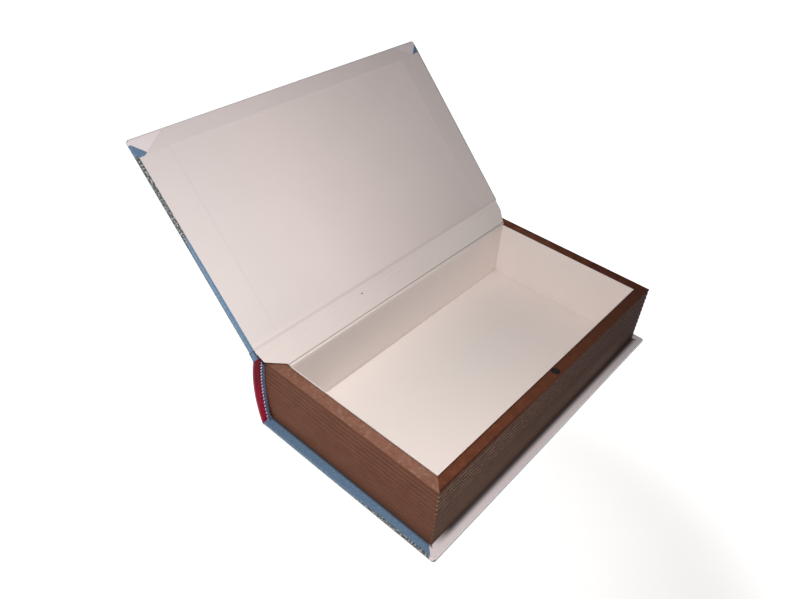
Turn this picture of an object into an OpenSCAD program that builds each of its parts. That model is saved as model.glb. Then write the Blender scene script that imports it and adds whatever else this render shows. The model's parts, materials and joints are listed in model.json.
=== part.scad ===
// Book-shaped money box: a wooden tray bound like a book, with a paper-hinged lid.
// X runs from the spine to the fore edge, Y along the spine from tail to head, Z up.
// The origin is the middle of the back cover's underside. The lid is drawn shut and turned open.

/* [Tray] */
// Length of the wooden tray along the spine
case_l = 258; // [180:1:340]
// Width of the tray from the rounded spine to the fore edge
case_w = 150.5; // [110:0.5:220]
// Height of the tray walls
case_h = 51.3; // [35:0.1:90]
// Thickness of the tail, head and fore edge walls
wall_t = 8.5; // [7.5:0.1:14]
// Width of the block behind the spine, measured at its roundest
spine_block_w = 18.75; // [14:0.25:30]
// Thickness of the hardboard floor
floor_t = 3; // [2:0.1:6]
// Thickness of the white card that lines the tray
lining_t = 0.5; // [0.3:0.05:1.2]

/* [Page grooves] */
// Height from one milled page groove to the next
groove_pitch = 4.05; // [2.5:0.05:6]
// Distance from the tray's top down to the middle of the first page groove
groove_top = 2.7; // [1:0.1:5]
// Depth of a page groove
groove_depth = 0.5; // [0.2:0.05:1]
// Width of a page groove at its mouth
groove_w = 0.9; // [0.4:0.05:2]

/* [Cover boards] */
// Thickness of the grey board in the front and back covers
board_t = 2.3; // [1.5:0.1:4]
// How far the covers stand out past the tail and head walls
square_end = 7; // [3:0.1:12]
// How far the covers stand out past the fore edge wall
square_fore = 7.7; // [3:0.1:12]
// Distance from the tray's roundest point back to the spine edge of the boards
board_setback = 6.7; // [6.2:0.1:12]
// Radius of the two fore edge corners of each cover
cover_corner_r = 1.6; // [0.8:0.1:5]

/* [Papers] */
// Thickness of the printed covering paper
cover_paper_t = 0.2; // [0.1:0.05:0.4]
// Thickness of the white endpaper
endpaper_t = 0.15; // [0.1:0.05:0.3]
// Width of the covering paper turned in at the tail and head
turn_in_end = 24; // [12:0.5:40]
// Width of the covering paper turned in at the fore edge
turn_in_fore = 12.5; // [9:0.5:30]
// Margin of covering paper that the endpaper leaves bare round the lid
endpaper_margin = 2; // [1:0.1:5]
// Length of the slanted end of the endpaper flange on the spine block
flange_mitre = 9; // [3:0.5:20]

/* [Spine] */
// Radius of the rounded spine
spine_r = 102; // [80:1:180]
// Height of the spine's roundest point above the middle of the tray
spine_lean = 7.3; // [-10:0.1:12]
// Thickness of the spine card
spine_card_t = 1; // [0.6:0.1:2.5]
// Width of each woven headband across the page edges
headband_w = 1.9; // [1.2:0.1:4]
// How far each headband stands out from the tray's end
headband_proud = 1.7; // [1:0.1:4]
// How far each headband stops short of the tray's top and foot
headband_short = 0.5; // [0.4:0.1:4]

/* [Catch] */
// Diameter of the magnet in the fore edge wall
magnet_d = 6.2; // [4:0.1:6.6]
// Thickness of the magnet
magnet_t = 3; // [2:0.1:8]
// How far the magnet lies below the top of the wall
magnet_sink = 1; // [0:0.1:3]
// Distance from the outside of the fore edge wall to the magnet's middle
magnet_inset = 4.9; // [4.4:0.1:5]
// Diameter of the steel disc hidden in the lid
keeper_d = 10; // [6:0.5:14]
// Thickness of the steel disc
keeper_t = 0.8; // [0.5:0.1:1.2]

/* [Lid] */
// Opening angle of the lid from shut
lid_open = 134.5; // [0:0.5:199]
// Width of the paper joint from the spine edge of the lid board to the hinge line
joint_w = 5.55; // [4.5:0.05:8]
// Height of the hinge line above the outside of the shut lid
hinge_rise = 0.5; // [0.45:0.05:1]

/* [Hidden] */
$fn = 96;

// Clearance of the shut lid above the endpaper flange
lid_clear = 0.1;
// Clearance between the paper of the lid's joint and the top of the spine
joint_clear = 0.1;
// Radial clearance of the magnet and the steel disc in their holes
disc_clear = 0.05;
// Thickness of the glue behind the endpaper flange's curved part and behind the headbands
glue_line = 0.05;
// Length that a cut runs past the face it leaves
over = 1;

// Boards
half_l = case_l / 2 + square_end;
board_w = case_w + square_fore - board_setback;
board_x1 = board_w / 2;
board_x0 = -board_w / 2;
base_t = board_t + 2 * cover_paper_t;

// Tray
tray_x1 = board_x1 - square_fore;
tray_x0 = tray_x1 - case_w;
tray_half = case_l / 2;
tray_z0 = base_t;
tray_z1 = base_t + case_h;
block_x1 = tray_x0 + spine_block_w;
inner_x1 = tray_x1 - wall_t;
inner_half = tray_half - wall_t;
floor_z = tray_z0 + floor_t + lining_t;

// Rounded spine, as an arc about a line along Y
arc_x = tray_x0 + spine_r;
arc_z = tray_z0 + case_h / 2 + spine_lean;

// Shut lid, layer by layer from the inside
lid_z0 = tray_z1 + endpaper_t + lid_clear;
lid_turn_z = lid_z0 + endpaper_t;
lid_board_z = lid_turn_z + cover_paper_t;
lid_outer_z = lid_board_z + board_t;
lid_z1 = lid_outer_z + cover_paper_t;
hinge_x = board_x0 - joint_w;
hinge_z = lid_z1 + hinge_rise;
spine_z1 = lid_z1 - joint_clear;
magnet_x = tray_x1 - magnet_inset;

// Outline of a cover in plan, with its two fore edge corners rounded
module cover_outline(x0, x1, half, corner_r) {
    difference() {
        translate([x0, -half]) square([x1 - x0, 2 * half]);
        for (side = [-1, 1])
            translate([x1 - corner_r, side * (half - corner_r)]) difference() {
                translate([0, side > 0 ? 0 : -corner_r - over]) square([corner_r + over, corner_r + over]);
                circle(r = corner_r);
            }
    }
}

// Solid bar of the spine's own curve, as deep as the radius given, along Y
module spine_cylinder(r, half) {
    translate([arc_x, half, arc_z]) rotate([90, 0, 0]) cylinder(r = r, h = 2 * half, $fn = 360);
}

// Curved sheet between two radii of the spine, cut off at a foot and a top
module spine_sheet(r_in, r_out, half, z0, z1) {
    intersection() {
        difference() {
            spine_cylinder(r_out, half);
            spine_cylinder(r_in, half + over);
        }
        translate([arc_x - r_out - over, -half, z0]) cube([r_out / 2, 2 * half, z1 - z0]);
    }
}

// V grooves like page edges, milled along X into a face at y = 0 that looks to -Y
module page_grooves(length) {
    count = 1 + floor((case_h - groove_top - groove_w) / groove_pitch);
    for (i = [0:count - 1])
        translate([0, 0, tray_z1 - groove_top - i * groove_pitch]) rotate([90, 0, 90])
            linear_extrude(height = length)
                polygon([[-over, -groove_w / 2], [0, -groove_w / 2], [groove_depth, 0],
                    [0, groove_w / 2], [-over, groove_w / 2]]);
}

module back_board() {
    color("tan") translate([0, 0, cover_paper_t]) linear_extrude(height = board_t)
        cover_outline(board_x0, board_x1 - cover_paper_t, half_l - cover_paper_t,
            cover_corner_r - cover_paper_t);
}

// Covering paper wrapped round a board that lies outside down, turned in on three sides
module wrapped_paper() {
    difference() {
        linear_extrude(height = base_t) cover_outline(board_x0, board_x1, half_l, cover_corner_r);
        translate([0, 0, cover_paper_t]) linear_extrude(height = board_t)
            cover_outline(board_x0 - over, board_x1 - cover_paper_t, half_l - cover_paper_t,
                cover_corner_r - cover_paper_t);
        translate([board_x0 - over, -half_l + turn_in_end, cover_paper_t])
            cube([board_w + over - turn_in_fore, 2 * (half_l - turn_in_end), base_t]);
    }
}

module back_cover_paper() {
    color("steelblue") wrapped_paper();
}

module floor_panel() {
    color("peru") translate([block_x1, -inner_half, tray_z0])
        cube([inner_x1 - block_x1, 2 * inner_half, floor_t]);
}

// End wall at -Y: mitred at the fore edge, rounded with the spine, grooved outside
module end_wall() {
    difference() {
        intersection() {
            translate([0, 0, tray_z0]) linear_extrude(height = case_h)
                polygon([[tray_x0 - over, -tray_half], [tray_x1, -tray_half],
                    [inner_x1, -inner_half], [tray_x0 - over, -inner_half]]);
            spine_cylinder(spine_r, tray_half);
        }
        translate([tray_x0 - over, -tray_half, 0]) page_grooves(case_w + 2 * over);
    }
}

module tail_wall() {
    color("sienna") end_wall();
}

module head_wall() {
    color("sienna") mirror([0, 1, 0]) end_wall();
}

module fore_edge_wall() {
    color("saddlebrown") difference() {
        translate([0, 0, tray_z0]) linear_extrude(height = case_h)
            polygon([[tray_x1, -tray_half], [tray_x1, tray_half],
                [inner_x1, inner_half], [inner_x1, -inner_half]]);
        translate([tray_x1, -tray_half - over, 0]) rotate([0, 0, 90]) page_grooves(case_l + 2 * over);
        translate([magnet_x, 0, tray_z1 - magnet_sink - magnet_t])
            cylinder(d = magnet_d + 2 * disc_clear, h = magnet_sink + magnet_t + over);
    }
}

module spine_block() {
    color("burlywood") intersection() {
        translate([tray_x0 - over, -inner_half, tray_z0])
            cube([spine_block_w + over, 2 * inner_half, case_h]);
        spine_cylinder(spine_r, tray_half);
    }
}

module floor_lining() {
    color("mistyrose") translate([block_x1, -inner_half, tray_z0 + floor_t])
        cube([inner_x1 - block_x1, 2 * inner_half, lining_t]);
}

// Card against the inside of an end wall at -Y
module end_lining() {
    translate([block_x1, -inner_half, floor_z])
        cube([inner_x1 - block_x1, lining_t, tray_z1 - floor_z]);
}

module tail_lining() {
    color("linen") end_lining();
}

module head_lining() {
    color("linen") mirror([0, 1, 0]) end_lining();
}

module fore_edge_lining() {
    color("seashell") translate([inner_x1 - lining_t, -inner_half + lining_t, floor_z])
        cube([lining_t, 2 * (inner_half - lining_t), tray_z1 - floor_z]);
}

module spine_lining() {
    color("seashell") translate([block_x1, -inner_half + lining_t, floor_z])
        cube([lining_t, 2 * (inner_half - lining_t), tray_z1 - floor_z]);
}

module front_magnet() {
    color("dimgray") translate([magnet_x, 0, tray_z1 - magnet_sink - magnet_t])
        cylinder(d = magnet_d, h = magnet_t);
}

// Round woven cord along the inside of the spine's curve, lying flat on the tray's end at -Y
module headband() {
    cord_r = headband_w / 2;
    lie_r = spine_r - cover_paper_t - glue_line - cord_r;
    top_turn = asin((tray_z1 - headband_short - arc_z) / lie_r);
    foot_turn = asin((arc_z - tray_z0 - headband_short) / lie_r);
    translate([arc_x, -tray_half, arc_z]) rotate([90, 0, 0]) rotate([0, 0, 180 - top_turn])
        rotate_extrude(angle = top_turn + foot_turn, $fn = 360) intersection() {
            translate([lie_r, headband_proud - cord_r]) circle(r = cord_r, $fn = 32);
            translate([lie_r - cord_r, 0]) square([headband_w, headband_proud]);
        }
}

module headband_tail() {
    color("navy") headband();
}

module headband_head() {
    color("navy") mirror([0, 1, 0]) headband();
}

module spine_card() {
    color("wheat") spine_sheet(spine_r, spine_r + spine_card_t, half_l - cover_paper_t,
        cover_paper_t, spine_z1 - cover_paper_t);
}

// Red paper round the spine card, turned in at both ends and carried under to the back board
module spine_cover_paper() {
    foot_x = arc_x - sqrt(pow(spine_r + spine_card_t + cover_paper_t, 2) - pow(arc_z, 2));
    color("crimson") union() {
        difference() {
            spine_sheet(spine_r - cover_paper_t, spine_r + spine_card_t + cover_paper_t, half_l,
                0, spine_z1);
            spine_sheet(spine_r, spine_r + spine_card_t, half_l - cover_paper_t,
                cover_paper_t, spine_z1 - cover_paper_t);
            spine_sheet(spine_r - cover_paper_t - over, spine_r, tray_half, cover_paper_t, spine_z1 + over);
        }
        translate([foot_x, -half_l, 0]) cube([board_x0 - foot_x, 2 * half_l, cover_paper_t]);
    }
}

// White paper over the top of the spine block and up the inside of the spine to the hinge line
module hinge_flange() {
    flange_r = spine_r - glue_line;
    color("white") union() {
        intersection() {
            translate([0, 0, tray_z1]) linear_extrude(height = endpaper_t)
                polygon([[tray_x0 - over, -tray_half], [block_x1, -tray_half + flange_mitre],
                    [block_x1, tray_half - flange_mitre], [tray_x0 - over, tray_half]]);
            spine_cylinder(flange_r, tray_half);
        }
        spine_sheet(flange_r - endpaper_t, flange_r, tray_half, tray_z1, spine_z1);
    }
}

// Turns what is drawn shut to the lid's open place
module open_lid() {
    translate([hinge_x, 0, hinge_z]) rotate([0, -lid_open, 0]) translate([-hinge_x, 0, -hinge_z])
        children();
}

module front_board() {
    color("darkkhaki") open_lid() difference() {
        translate([0, 0, lid_board_z]) linear_extrude(height = board_t)
            cover_outline(board_x0, board_x1 - cover_paper_t, half_l - cover_paper_t,
                cover_corner_r - cover_paper_t);
        translate([magnet_x, 0, lid_board_z - over])
            cylinder(d = keeper_d + 2 * disc_clear, h = keeper_t + over);
    }
}

// Profile of one paper of the joint, from the hinge line to the lid board, at a depth in the laminate
module joint_strip(depth, paper_t, half) {
    end_x = hinge_x + joint_clear;
    end_z = hinge_z - joint_clear / 2 - depth;
    foot_z = lid_z1 - depth;
    translate([0, half, 0]) rotate([90, 0, 0]) linear_extrude(height = 2 * half)
        polygon([[end_x, end_z], [end_x, end_z - paper_t], [board_x0, foot_z - paper_t],
            [board_x0, foot_z]]);
}

module front_cover_paper() {
    color("cadetblue") open_lid() union() {
        translate([0, 0, lid_turn_z + base_t]) mirror([0, 0, 1]) wrapped_paper();
        joint_strip(0, cover_paper_t, half_l);
    }
}

// White paper on the inside of the lid, pressed down inside the turn-ins, and on through the joint
module front_endpaper() {
    margin_half = half_l - endpaper_margin;
    panel_x1 = board_x1 - turn_in_fore;
    panel_half = half_l - turn_in_end;
    color("whitesmoke") open_lid() union() {
        difference() {
            translate([board_x0 - endpaper_t, -margin_half, lid_z0])
                cube([board_w + endpaper_t - endpaper_margin, 2 * margin_half, lid_board_z - lid_z0]);
            for (side = [-1, 1])
                translate([board_x0, side > 0 ? panel_half : -half_l - over, lid_turn_z])
                    cube([board_w + over, turn_in_end + over, board_t]);
            translate([panel_x1, -half_l, lid_turn_z]) cube([turn_in_fore + over, 2 * half_l, board_t]);
            translate([board_x0 + endpaper_t, -panel_half + endpaper_t, lid_z0 - over])
                cube([panel_x1 - board_x0 - 2 * endpaper_t, 2 * (panel_half - endpaper_t),
                    lid_board_z - endpaper_t - lid_z0 + over]);
        }
        translate([board_x0 - endpaper_t, -margin_half, lid_z0])
            cube([endpaper_t, 2 * margin_half, lid_outer_z - lid_z0]);
        joint_strip(cover_paper_t, endpaper_t, margin_half);
    }
}

module lid_keeper() {
    color("silver") open_lid() translate([magnet_x, 0, lid_board_z]) cylinder(d = keeper_d, h = keeper_t);
}

back_board();
back_cover_paper();
floor_panel();
tail_wall();
head_wall();
fore_edge_wall();
spine_block();
floor_lining();
tail_lining();
head_lining();
fore_edge_lining();
spine_lining();
front_magnet();
headband_tail();
headband_head();
spine_card();
spine_cover_paper();
hinge_flange();
front_board();
front_cover_paper();
front_endpaper();
lid_keeper();
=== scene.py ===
import json
from functools import partialmethod
from math import asin, cos, pi, radians, sin, sqrt

import bmesh
import bpy
from mathutils import Matrix, Vector, noise
from numpy import interp


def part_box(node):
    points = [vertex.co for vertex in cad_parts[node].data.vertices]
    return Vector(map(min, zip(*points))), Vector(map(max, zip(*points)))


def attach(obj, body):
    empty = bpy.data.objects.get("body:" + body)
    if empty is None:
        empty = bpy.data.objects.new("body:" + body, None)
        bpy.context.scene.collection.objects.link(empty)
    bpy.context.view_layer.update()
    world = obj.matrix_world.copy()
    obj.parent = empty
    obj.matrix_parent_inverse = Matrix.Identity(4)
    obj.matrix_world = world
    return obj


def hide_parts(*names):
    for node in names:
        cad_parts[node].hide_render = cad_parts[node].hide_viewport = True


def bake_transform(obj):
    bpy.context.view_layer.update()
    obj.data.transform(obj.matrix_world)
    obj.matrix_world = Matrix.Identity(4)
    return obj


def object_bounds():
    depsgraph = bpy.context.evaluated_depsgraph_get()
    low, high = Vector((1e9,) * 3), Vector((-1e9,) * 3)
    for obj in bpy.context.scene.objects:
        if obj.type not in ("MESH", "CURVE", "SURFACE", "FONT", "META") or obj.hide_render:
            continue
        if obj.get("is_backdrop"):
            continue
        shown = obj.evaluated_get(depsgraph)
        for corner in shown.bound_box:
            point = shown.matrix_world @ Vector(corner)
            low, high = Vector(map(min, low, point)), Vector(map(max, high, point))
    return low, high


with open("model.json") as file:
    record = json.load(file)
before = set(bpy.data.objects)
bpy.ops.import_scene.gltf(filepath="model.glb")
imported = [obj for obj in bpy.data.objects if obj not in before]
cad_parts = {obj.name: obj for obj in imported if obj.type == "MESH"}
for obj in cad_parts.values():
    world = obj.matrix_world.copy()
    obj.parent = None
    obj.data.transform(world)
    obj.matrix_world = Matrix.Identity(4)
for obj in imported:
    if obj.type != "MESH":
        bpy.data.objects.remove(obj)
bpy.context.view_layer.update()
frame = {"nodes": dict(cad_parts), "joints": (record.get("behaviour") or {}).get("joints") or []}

# The camera stands above the fore edge's tail corner, tilted a little, as the photograph was taken.
# Nothing is out of focus.
mm = 0.001
camera_at = Vector((192.07, -333.97, 383.9)) * mm
camera_look = Vector((-0.4817, 0.6059, -0.6331))
camera_roll = radians(4.505)
film_width = 36
lens_length = 32.17


def put(name, data):
    """Puts a new object into the scene."""
    made = bpy.data.objects.new(name, data)
    bpy.context.scene.collection.objects.link(made)
    return made


lens = bpy.data.cameras.new("camera")
lens.sensor_width = film_width
lens.lens = lens_length
camera = put("camera", lens)
camera.matrix_world = (Matrix.Translation(camera_at)
                       @ camera_look.to_track_quat("-Z", "Y").to_matrix().to_4x4()
                       @ Matrix.Rotation(camera_roll, 4, "Z"))
bpy.context.scene.camera = camera

# Soft studio light: one lamp beside the camera, close enough that the head end is darker, and a dim
# white room all round.
lamp_at = Vector((98, -215, 352)) * mm
lamp_aim = Vector((-60, -80, 50)) * mm
lamp_size = 150 * mm
lamp_spread = radians(130)
lamp_power = 0.585
lamp_white = (1.0, 0.975, 0.95)
room_white = (1.0, 0.985, 0.975, 1)
room_light = 0.14

lamp = bpy.data.lights.new("lamp", "AREA")
lamp.size = lamp_size
lamp.spread = lamp_spread
lamp.energy = lamp_power
lamp.color = lamp_white
lamp_stand = put("lamp", lamp)
lamp_stand.location = lamp_at
lamp_stand.rotation_euler = (lamp_aim - lamp_at).to_track_quat("-Z", "Y").to_euler()

room = bpy.data.worlds.new("room")
room.use_nodes = True
room_walls = room.node_tree.nodes["Background"].inputs
room_walls["Color"].default_value = room_white
room_walls["Strength"].default_value = room_light
bpy.context.scene.world = room
bpy.context.scene.view_settings.view_transform = "Standard"


# Plain pale floor, lit from within like a light table, so that it photographs white. It is lit less
# in front of the box, whose sides would be too bright otherwise.
floor_reach = 4.0
floor_drop = 0.05 * mm
front_at = (110 * mm, -120 * mm, 0)
glow_near = (0.5, 0.5, 0.5, 1)
glow_far = (0.97, 0.97, 0.97, 1)
near_reach = 110
far_reach = 220


class Value:
    """A node tree's socket as a value in a sum: each operator adds its own Math node."""

    def __init__(self, tree, socket=None):
        self.tree = tree
        self.socket = socket

    def node(self, kind, settings=None, inputs=None, outlet=0):
        """Adds any node: first its settings, then the numbers or links of its sockets."""
        made = self.tree.nodes.new(kind)
        for name, setting in (settings or {}).items():
            if name == "stops":
                stops = made.color_ramp.elements
                while len(stops) < len(setting):
                    stops.new(1)
                for stop, (at, shade) in zip(stops, setting):
                    stop.position = at
                    stop.color = colour(*shade)
            else:
                setattr(made, name, setting)
        for name, given in (inputs or {}).items():
            if isinstance(given, Value):
                self.tree.links.new(given.socket, made.inputs[name])
            else:
                made.inputs[name].default_value = given
        return Value(self.tree, made.outputs[outlet]) if made.outputs else None

    def outlet(self, name):
        """Another outlet of the node that this value comes from."""
        return Value(self.tree, self.socket.node.outputs[name])

    def math(self, operation, *others):
        return self.node("ShaderNodeMath", {"operation": operation}, dict(enumerate((self, *others))))

    __add__ = __radd__ = partialmethod(math, "ADD")
    __mul__ = __rmul__ = partialmethod(math, "MULTIPLY")
    __sub__ = partialmethod(math, "SUBTRACT")
    __abs__ = partialmethod(math, "ABSOLUTE")
    __or__ = partialmethod(math, "MAXIMUM")
    __gt__ = partialmethod(math, "GREATER_THAN")

    def __rsub__(self, other):
        return self.node("ShaderNodeMath", {"operation": "SUBTRACT"}, {0: other, 1: self})


def colour(red, green, blue):
    """A colour given as it looks on a screen, from 0 to 255, as the shader wants it."""
    parts = [part / 255 for part in (red, green, blue)]
    return tuple(p / 12.92 if p < 0.04045 else ((p + 0.055) / 1.055) ** 2.4 for p in parts) + (1,)


def finish_of(name, fixed, draw):
    """A material: fixed holds its constant sockets, and draw gives what varies over the surface."""
    material = bpy.data.materials.new(name)
    material.use_nodes = True
    tree = material.node_tree
    shader = tree.nodes["Principled BSDF"]
    for socket, value in fixed.items():
        shader.inputs[socket].default_value = value
    place = Value(tree).node("ShaderNodeTexCoord", outlet="Object")
    for socket, drawn in draw(place).items():
        tree.links.new(drawn.socket, shader.inputs[socket])
    return material


def mottle(place, size, detail=2.0, stretch=(1, 1, 1)):
    """Soft random patches from 0 to 1, of the size given in millimetres, stretched along the axes."""
    scaled = place.node("ShaderNodeVectorMath", {"operation": "DIVIDE"},
                        {0: place, 1: tuple(size * mm * part for part in stretch)})
    return place.node("ShaderNodeTexNoise", {}, {"Vector": scaled, "Scale": 1.0, "Detail": detail})


def how_far(place, point):
    """How far a place is from a point."""
    return place.node("ShaderNodeVectorMath", {"operation": "DISTANCE"}, {0: place, 1: point}, 1)


def fade(value, low, high):
    """0 below low, 1 above high, and smooth between them. It falls where high is below low."""
    if high < low:
        return 1 - fade(value, high, low)
    return value.node("ShaderNodeMapRange", {"interpolation_type": "SMOOTHSTEP"},
                      {"Value": value, "From Min": low, "From Max": high})


def fade_mm(value, low, high):
    """The same with its limits in millimetres."""
    return fade(value, low * mm, high * mm)


def tint(factor, under, over):
    """The colour under, painted over with the other one by factor. Three numbers are a screen colour."""
    under, over = (colour(*part) if isinstance(part, tuple) and len(part) == 3 else part
                   for part in (under, over))
    return factor.node("ShaderNodeMix", {"data_type": "RGBA"}, {0: factor, 6: under, 7: over}, 2)


def draw_floor(place):
    glow = fade_mm(how_far(place, front_at), near_reach, far_reach)
    return {"Base Color": tint(mottle(place, 60), (236, 235, 234), (240, 239, 238)),
            "Emission Color": tint(glow, glow_near, glow_far)}


floor_mesh = bpy.data.meshes.new("floor")
floor_mesh.from_pydata([(x * floor_reach, y * floor_reach, -floor_drop)
                        for x, y in ((-1, -1), (1, -1), (1, 1), (-1, 1))], [], [(0, 1, 2, 3)])
floor_mesh.materials.append(finish_of("floor_finish", {"Roughness": 0.8, "Specular IOR Level": 0.1,
                                                       "Emission Strength": 1.0}, draw_floor))
floor = put("floor", floor_mesh)
floor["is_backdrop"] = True


# The two boards are 2.3 mm grey board, cut with a guillotine, with their arrises rubbed down by the
# paper. The front one has a shallow hole for the steel disc. Both are made lying outside down.
paper_t = 0.2 * mm
cover_low, cover_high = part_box("back_cover_paper")
cover_t = cover_high.z
board_x0 = cover_low.x
board_x1 = cover_high.x
board_half = cover_high.y
cover_corner = 2.2 * mm
roll_r = 1.0 * mm
turn_in_fore = 12.5 * mm
roll_steps = 5
side_steps = 36
corner_steps = 6

hinge = frame["joints"][0]
hinge_at = Vector(hinge["pos_m"])
lid_open = radians(-hinge["range_deg"][0])
lid_z1 = hinge_at.z - 0.5 * mm
open_turn = (Matrix.Translation(hinge_at) @ Matrix.Rotation(-lid_open, 4, "Y")
             @ Matrix.Translation(-hinge_at))


def on_tray(point):
    return Vector(point)


def on_lid(point):
    """From a cover that lies outside down to the open lid, whose outside was up when it was shut."""
    return open_turn @ Vector((point[0], point[1], lid_z1 - point[2]))


def cover_ring(inset, rise, overlap):
    """Points round a cover's three turned edges at a depth in from them, and their places on the flat
    sheet of paper, where overlap is how far past the cover's outline they lie."""
    fore_inset = min(inset, turn_in_fore)
    core = max(inset, cover_corner)
    fore_core = max(fore_inset, cover_corner)
    corner_x = board_x1 - fore_core
    corner_y = board_half - core
    head, fore = [], []
    for i in range(side_steps + 1):
        x = board_x0 + (corner_x - board_x0) * i / side_steps
        y = corner_y * (2 * i / side_steps - 1)
        head.append((x, board_half - inset, x, board_half + overlap))
        fore.append((board_x1 - fore_inset, y, board_x1 + overlap, y))
    for k in range(corner_steps - 1, 0, -1):
        turn = pi / 2 * k / corner_steps
        reach = cover_corner + overlap
        head.append((corner_x + (fore_core - fore_inset) * cos(turn),
                     corner_y + (core - inset) * sin(turn),
                     board_x1 - cover_corner + reach * cos(turn),
                     board_half - cover_corner + reach * sin(turn)))
    ring = [(x, -y, u, -v) for x, y, u, v in head] + fore + head[::-1]
    return [(x, y, rise) for x, y, u, v in ring], [(u, v) for x, y, u, v in ring]


def quarter(steps):
    """The angles of a quarter turn."""
    return [pi / 2 * k / steps for k in range(steps + 1)]


def rolled_edge(inset, thickness, roll):
    """Depth, height and length along the sheet, from under a cover's edge, round it and onto its top."""
    flat = thickness - 2 * inset - 2 * roll
    under = [(inset + roll * (1 - sin(turn)), inset + roll * (1 - cos(turn)),
              roll * turn - inset - roll) for turn in quarter(roll_steps)]
    over = [(inset + roll * (1 - cos(turn)), thickness - inset - roll * (1 - sin(turn)),
             roll * (turn + pi / 2) + flat - inset - roll) for turn in quarter(roll_steps)]
    return under + over


def loft(rows, looped=False, places=None, marks=None, place=on_tray, lids=()):
    """A mesh of quads through rows of points. looped closes each row and both ends, places are the
    points' places on a flat sheet, marks are named numbers of each point, and lids names rows that
    get one face of their own."""
    wide = len(rows[0])
    rings = [[*range(i * wide, i * wide + wide)] + [i * wide] * looped for i in range(len(rows))]
    faces = [(a, b, d, c) for here, there in zip(rings, rings[1:])
             for a, b, c, d in zip(here, here[1:], there, there[1:])]
    faces += [rings[i][:wide] for i in ((0, -1) if looped else lids)]
    mesh = bpy.data.meshes.new("loft")
    mesh.from_pydata([place(point) for row in rows for point in row], [], faces)
    if places:
        flat = [uv for row in places for uv in row]
        layer = mesh.uv_layers.new(name="sheet")
        for corner in mesh.loops:
            layer.data[corner.index].uv = flat[corner.vertex_index]
    for mark, values in (marks or {}).items():
        plain = isinstance(values[0], float)
        layer = mesh.attributes.new(mark, "FLOAT" if plain else "FLOAT_VECTOR", "POINT")
        for i, value in enumerate(values):
            setattr(layer.data[i], "value" if plain else "vector", value)
    form = bmesh.new()
    form.from_mesh(mesh)
    bmesh.ops.remove_doubles(form, verts=form.verts, dist=0.001 * mm)
    bmesh.ops.recalc_face_normals(form, faces=form.faces)
    form.to_mesh(mesh)
    form.free()
    return mesh


def soften(piece, sharp=35):
    """Smooths a piece but for its edges sharper than the angle given."""
    piece.data.polygons.foreach_set("use_smooth", [True] * len(piece.data.polygons))
    piece.data.set_sharp_from_angle(angle=radians(sharp))


def new_piece(name, mesh, material):
    """A mesh as a piece of its own in the scene."""
    mesh.name = name
    mesh.materials.append(material)
    piece = put(name, mesh)
    soften(piece)
    return piece


def settle(piece, sharp=35):
    """Turns a piece with modifiers into a plain mesh."""
    depsgraph = bpy.context.evaluated_depsgraph_get()
    made = bpy.data.meshes.new_from_object(piece.evaluated_get(depsgraph),
                                           preserve_all_data_layers=True, depsgraph=depsgraph)
    piece.modifiers.clear()
    piece.data = made
    soften(piece, sharp)


def cut_out(piece, cutter_mesh):
    """Cuts a closed shape out of a piece."""
    cutter = put("cutter", cutter_mesh)
    cut = piece.modifiers.new("cut", "BOOLEAN")
    cut.object = cutter
    settle(piece)
    bpy.data.objects.remove(cutter)


def disc(radius, low, high, edge=0.0, place=on_tray):
    """A round plate between two heights over the catch, with its arrises taken off by edge."""
    rings = [(radius - edge, low), (radius, low + edge), (radius, high - edge), (radius - edge, high)]
    turns = [2 * pi * k / disc_steps for k in range(disc_steps)]
    rows = [[(disc_x + r * cos(turn), r * sin(turn), z) for turn in turns] for r, z in rings]
    return loft(rows, looped=True, place=place)


def surface(shade, roughness, height, depth):
    """What varies over a finish: its colour, its roughness and a grain that stands depth mm high."""
    bump = height.node("ShaderNodeBump", {}, {"Height": height, "Distance": depth * mm})
    return {"Base Color": shade, "Roughness": roughness, "Normal": bump}


def draw_grey_board(place):
    fibre = mottle(place, 0.5, 4.0)
    grey = tint(fibre, (150, 143, 133), (186, 180, 170))
    return surface(grey, 0.85 + 0.1 * mottle(place, 6), fibre, 0.05)


grey_board = finish_of("grey_board_finish", {}, draw_grey_board)
magnet_low, magnet_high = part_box("front_magnet")
disc_x = magnet_low.lerp(magnet_high, 0.5).x
disc_steps = 64
keeper_hole_r = 5.05 * mm
keeper_hole_t = 0.8 * mm
board_slack = 0.02 * mm
for name, body, place in (("back_board_slab", "tray", on_tray), ("front_board_slab", "lid", on_lid)):
    edge = rolled_edge(paper_t + board_slack, cover_t, roll_r - paper_t)
    rings = [cover_ring(inset, rise, 0)[0] for inset, rise, reach in edge]
    slab = new_piece(name, loft(rings, looped=True, place=place), grey_board)
    if body == "lid":
        board_top = cover_t - paper_t
        cut_out(slab, disc(keeper_hole_r, board_top - keeper_hole_t, board_top + mm, place=on_lid))
    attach(slab, body)
    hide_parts(name.removesuffix("_slab"))


# The printed covering paper is pasted over the board's outside and turned in over three edges, with
# mitred corners. Its print is marbled, plain blue at the ends inside a speckled rim and pale at the fore
# edge. Painted shade greys the fore edge's lower roll, painted light makes the back's pale fore margin
# lighter toward the head, and painted shadow darkens the print beside the walls' feet. On the front the
# paper runs on through the joint to the spine's top.
mitre_past = 3.8 * mm
foot_at_end = 8.5 * mm
foot_at_fore = 9.2 * mm
stone_size = 7 * mm
blue = (96, 128, 160)
deep_blue = (52, 72, 98)
pale_lilac = (234, 223, 226)
crimson = (150, 6, 42)


def split(place):
    """The x, y and z of a place."""
    across = place.node("ShaderNodeSeparateXYZ", {}, {0: place})
    return [across.outlet(axis) for axis in range(3)]


def thicken(piece, thickness):
    """Gives a sheet its thickness, half on each side."""
    wall = piece.modifiers.new("thickness", "SOLIDIFY")
    wall.thickness = thickness
    wall.offset = 0
    settle(piece)


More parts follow.
